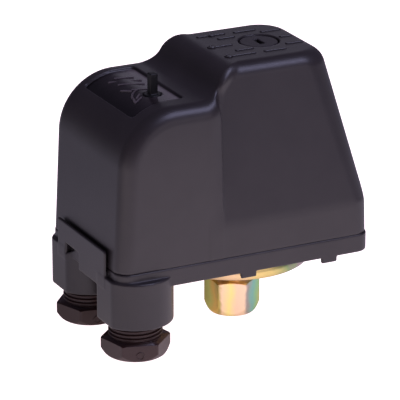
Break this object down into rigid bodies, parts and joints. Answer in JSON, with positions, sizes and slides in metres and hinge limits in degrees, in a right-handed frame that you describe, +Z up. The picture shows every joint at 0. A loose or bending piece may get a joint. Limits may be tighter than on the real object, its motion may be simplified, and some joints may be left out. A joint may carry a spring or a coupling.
{
  "type": "pump pressure switch",
  "caption": "Diaphragm pressure switch for a water pump, with a lift-off hood, an off selector, cable glands and a swivel-nut port.",
  "frame": {"origin": "on the axis of the pressure port, at the open mouth of the swivel nut", "axes": "+Z up along the port axis into the switch, +X towards the spring end, -X towards the cable glands, Y across the housing"},
  "size_m": [0.0973, 0.0626, 0.0978],
  "materials": {
    "housing_plastic": "fine spark-eroded satin",
    "gland_plastic": "satin moulded",
    "selector_plastic": "semi-gloss moulded",
    "screw_plastic": "satin moulded",
    "yellow_zinc": "yellow chromate zinc, iridescent",
    "bright_zinc": "bright zinc plated",
    "spring_steel": "oiled spring wire",
    "brass": "turned and stamped",
    "contact_silver": "silver alloy",
    "rubber": "matte",
    "fibre": "pressed fibre sheet",
    "block_plastic": "moulded phenolic",
    "carrier_plastic": "ivory moulded"
  },
  "bodies": {
    "housing": {"base": "housing_plastic", "port_gasket": "fibre", "port_nipple": "yellow_zinc", "flange_dish": "yellow_zinc", "diaphragm": "rubber", "flange_screws": "bright_zinc", "frame_bracket": "bright_zinc", "pivot_pin": "bright_zinc", "pivot_clips": "spring_steel", "range_stud": "bright_zinc", "diff_stud": "bright_zinc", "range_spring": "spring_steel", "diff_spring": "spring_steel", "contact_block": "block_plastic", "block_screws": "bright_zinc", "terminal_bars": "brass", "fixed_tips": "contact_silver", "terminal_screws": "bright_zinc", "wire_clamps": "bright_zinc", "earth_bar": "brass", "earth_screws": "bright_zinc", "gland_seal_front": "rubber", "gland_seal_back": "rubber"},
    "hood": {"cover": "housing_plastic"},
    "hood_screw": {"cover_screw": "screw_plastic", "cover_screw_washer": "bright_zinc"},
    "selector": {"selector_knob": "selector_plastic", "selector_clip": "bright_zinc"},
    "port_nut": {"swivel_nut": "yellow_zinc"},
    "front_washer": {"gland_washer_front": "gland_plastic"},
    "front_gland": {"gland_nut_front": "gland_plastic"},
    "back_washer": {"gland_washer_back": "gland_plastic"},
    "back_gland": {"gland_nut_back": "gland_plastic"},
    "plunger": {"pressure_plunger": "carrier_plastic"},
    "lever": {"beam": "bright_zinc", "range_seat": "bright_zinc", "diff_seat": "bright_zinc"},
    "carrier": {"contact_carrier": "carrier_plastic", "moving_bridges": "brass", "bridge_tips": "contact_silver", "bridge_springs": "spring_steel"},
    "range_top": {"range_cup": "bright_zinc"},
    "range_adjuster": {"range_nut": "yellow_zinc"},
    "diff_top": {"diff_cup": "bright_zinc"},
    "diff_adjuster": {"diff_nut": "yellow_zinc"}
  },
  "joints": [
    {"name": "cover_lift", "type": "slide", "parent": "housing", "child": "hood", "axis": [0, 0, 1], "range_m": [0, 0.09]},
    {"name": "cover_screw_turn", "type": "hinge", "parent": "hood", "child": "hood_screw", "pos_m": [0.01, 0, 0.09], "axis": [0, 0, 1], "continuous": true},
    {"name": "selector_turn", "type": "hinge", "parent": "hood", "child": "selector", "pos_m": [-0.0337, -0.0069, 0.086], "axis": [0, 0, 1], "range_deg": [0, 90]},
    {"name": "swivel_nut_spin", "type": "hinge", "parent": "housing", "child": "port_nut", "pos_m": [0, 0, 0.006], "axis": [0, 0, 1], "continuous": true},
    {"name": "plunger_slide", "type": "slide", "parent": "housing", "child": "plunger", "axis": [0, 0, 1], "range_m": [0, 0.0015], "stiffness_N_per_m": 2000, "springref_m": -0.001, "deforming": ["diaphragm"]},
    {"name": "lever_tilt", "type": "hinge", "parent": "housing", "child": "lever", "pos_m": [0.029, 0, 0.0394], "axis": [0, 1, 0], "range_deg": [0, 3]},
    {"name": "contact_lift", "type": "slide", "parent": "housing", "child": "carrier", "axis": [0, 0, 1], "range_m": [0, 0.0026]},
    {"name": "gland_front_travel", "type": "slide", "parent": "housing", "child": "front_washer", "axis": [0, 0, 1], "range_m": [-0.00585, 0.00195], "deforming": ["gland_seal_front"]},
    {"name": "gland_front_turn", "type": "hinge", "parent": "front_washer", "child": "front_gland", "pos_m": [-0.0461, -0.0183, 0.002], "axis": [0, 0, 1], "range_deg": [-1500, 500]},
    {"name": "gland_back_travel", "type": "slide", "parent": "housing", "child": "back_washer", "axis": [0, 0, 1], "range_m": [-0.00585, 0.00195], "deforming": ["gland_seal_back"]},
    {"name": "gland_back_turn", "type": "hinge", "parent": "back_washer", "child": "back_gland", "pos_m": [-0.0461, 0.0183, 0.002], "axis": [0, 0, 1], "range_deg": [-1500, 500]},
    {"name": "range_travel", "type": "slide", "parent": "housing", "child": "range_top", "axis": [0, 0, 1], "range_m": [-0.006, 0.004], "deforming": ["range_spring"]},
    {"name": "range_nut_turn", "type": "hinge", "parent": "range_top", "child": "range_adjuster", "pos_m": [0.01, 0, 0.07], "axis": [0, 0, 1], "range_deg": [-2165, 1445]},
    {"name": "diff_travel", "type": "slide", "parent": "housing", "child": "diff_top", "axis": [0, 0, 1], "range_m": [-0.0039, 0.0029], "deforming": ["diff_spring"]},
    {"name": "diff_nut_turn", "type": "hinge", "parent": "diff_top", "child": "diff_adjuster", "pos_m": [-0.01, 0, 0.061], "axis": [0, 0, 1], "range_deg": [-2040, 1530]}
  ],
  "couplings": [
    {"joint": "lever_tilt", "follows": "plunger_slide", "rad_per_m": 34.483},
    {"joint": "contact_lift", "follows": "plunger_slide", "ratio": 1.7},
    {"joint": "gland_front_turn", "follows": "gland_front_travel", "rad_per_m": 4456.2},
    {"joint": "gland_back_turn", "follows": "gland_back_travel", "rad_per_m": 4456.2},
    {"joint": "range_nut_turn", "follows": "range_travel", "rad_per_m": 6283.2},
    {"joint": "diff_nut_turn", "follows": "diff_travel", "rad_per_m": 8976}
  ]
}
